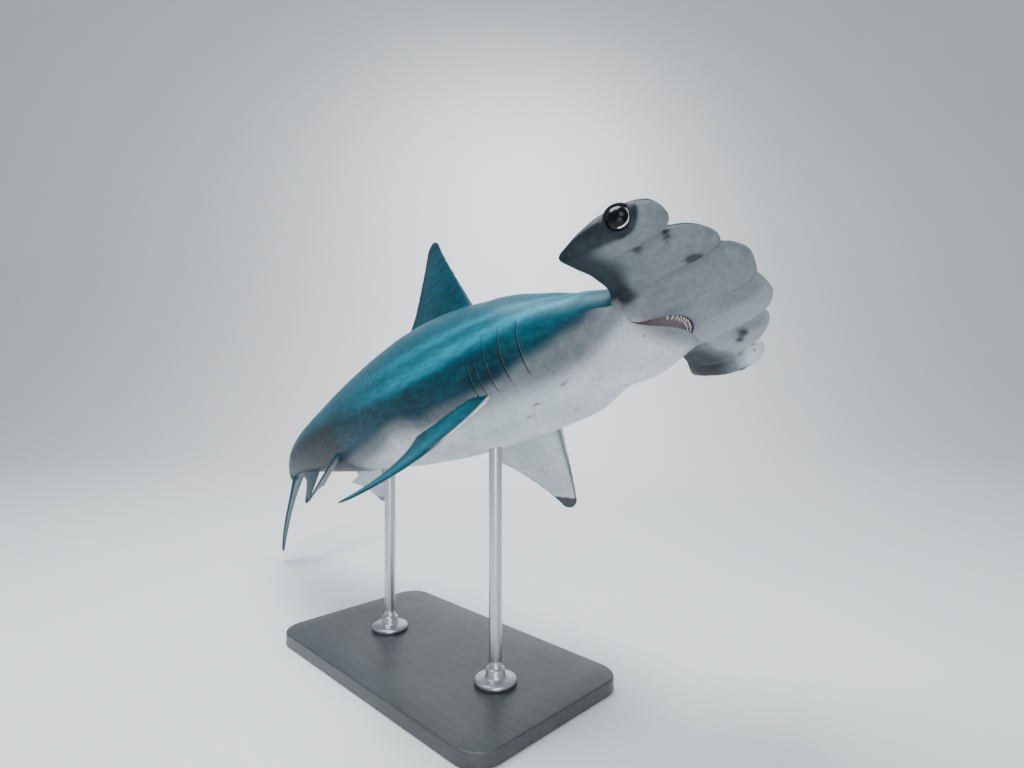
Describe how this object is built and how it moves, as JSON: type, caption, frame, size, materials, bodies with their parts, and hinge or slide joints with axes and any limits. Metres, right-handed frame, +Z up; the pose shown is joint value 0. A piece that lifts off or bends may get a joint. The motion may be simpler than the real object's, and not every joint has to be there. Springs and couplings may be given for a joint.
{
  "type": "hammerhead shark model on a display stand",
  "caption": "Life-size scalloped hammerhead shark, still, banking and bending to its left, held by rods over a flat base.",
  "frame": {"origin": "middle of the underside of the stand's base, on the floor", "axes": "+X where the shark swims, +Y to its left, +Z up"},
  "size_m": [1.9245, 0.9837, 1.051],
  "materials": {
    "skin": "slate grey back and white belly, finely rough, slightly wet sheen",
    "eye": "glossy black with a pale rim",
    "teeth": "off-white, smooth, part of the head",
    "stand_board": "board painted satin charcoal",
    "stand_metal": "satin brushed rod"
  },
  "bodies": {
    "root": {"head": "skin", "eye_right": "eye", "eye_left": "eye", "gill_region": "skin", "torso_front": "skin", "torso_rear": "skin", "tail_stalk": "skin", "dorsal_fin_first": "skin", "dorsal_fin_second": "skin", "anal_fin": "skin", "pectoral_fin_right": "skin", "pectoral_fin_left": "skin", "pelvic_fin_right": "skin", "pelvic_fin_left": "skin", "caudal_fin_upper": "skin", "caudal_fin_lower": "skin", "stand_base": "stand_board", "stand_rod_front": "stand_metal", "stand_rod_rear": "stand_metal"}
  },
  "joints": []
}
